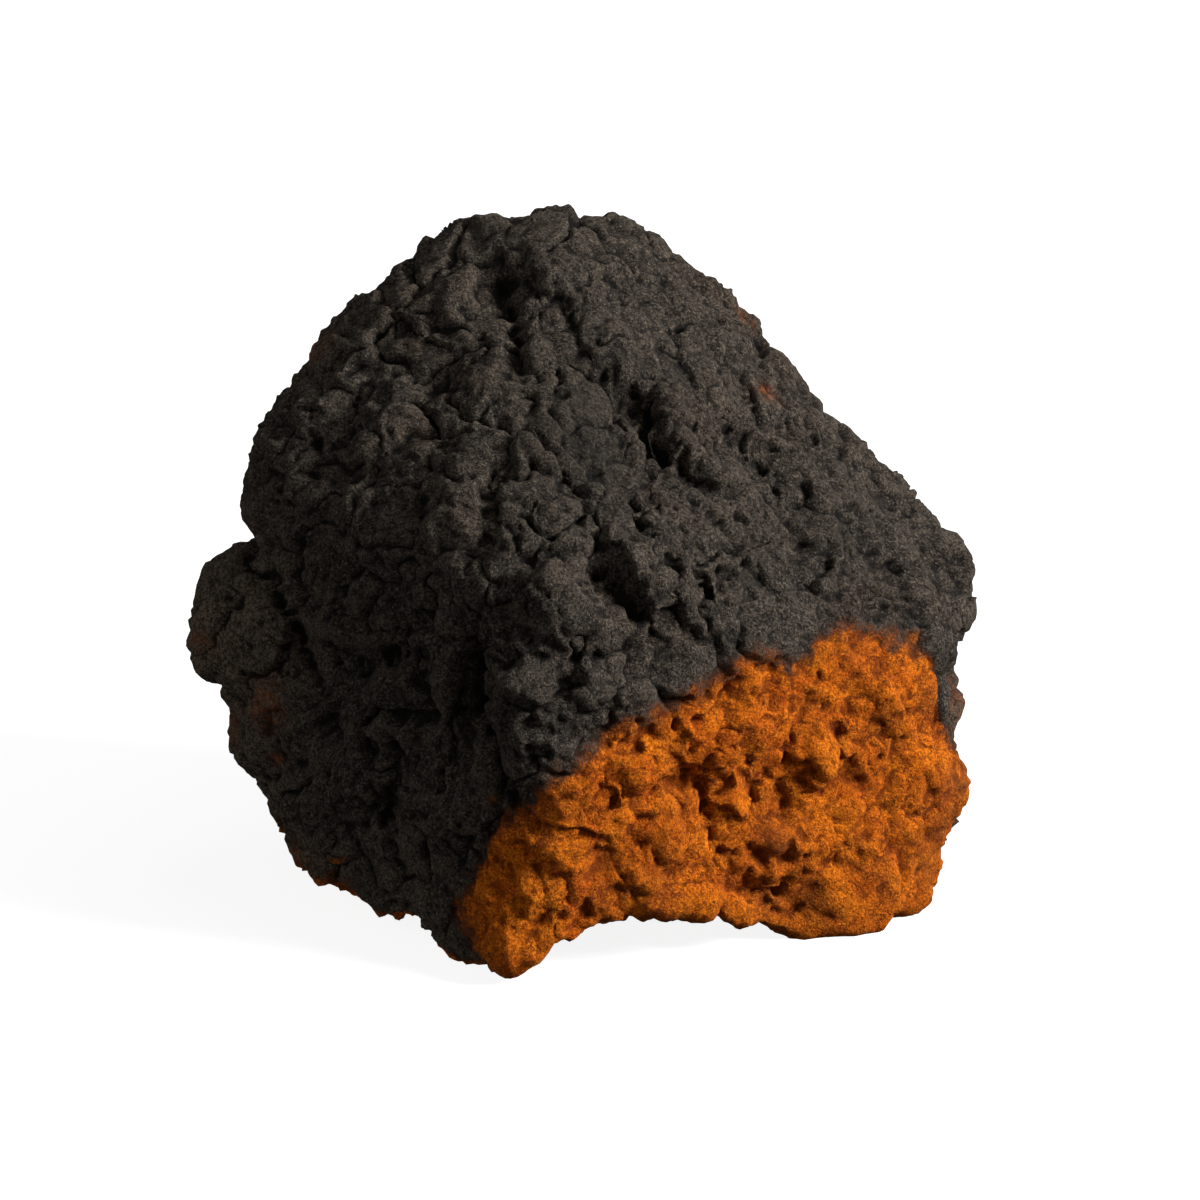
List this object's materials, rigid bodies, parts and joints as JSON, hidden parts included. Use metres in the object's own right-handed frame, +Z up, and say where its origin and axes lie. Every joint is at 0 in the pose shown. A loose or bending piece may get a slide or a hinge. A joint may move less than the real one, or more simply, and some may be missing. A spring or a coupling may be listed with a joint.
{
  "type": "chaga",
  "caption": "Chaga conk: a black, cracked, woody lump of fungus with a broken rust-orange face, resting on its underside.",
  "frame": {"origin": "on the ground plane, under the middle of the outer box", "axes": "+X to the right as the broken face is seen, +Y away from the broken face to the back, +Z up"},
  "size_m": [0.1828, 0.1436, 0.1509],
  "materials": {
    "chaga_crust": "matte, charred-looking crust, with a rust-orange corky inside on the broken face"
  },
  "bodies": {
    "root": {"chaga": "chaga_crust"}
  },
  "joints": []
}
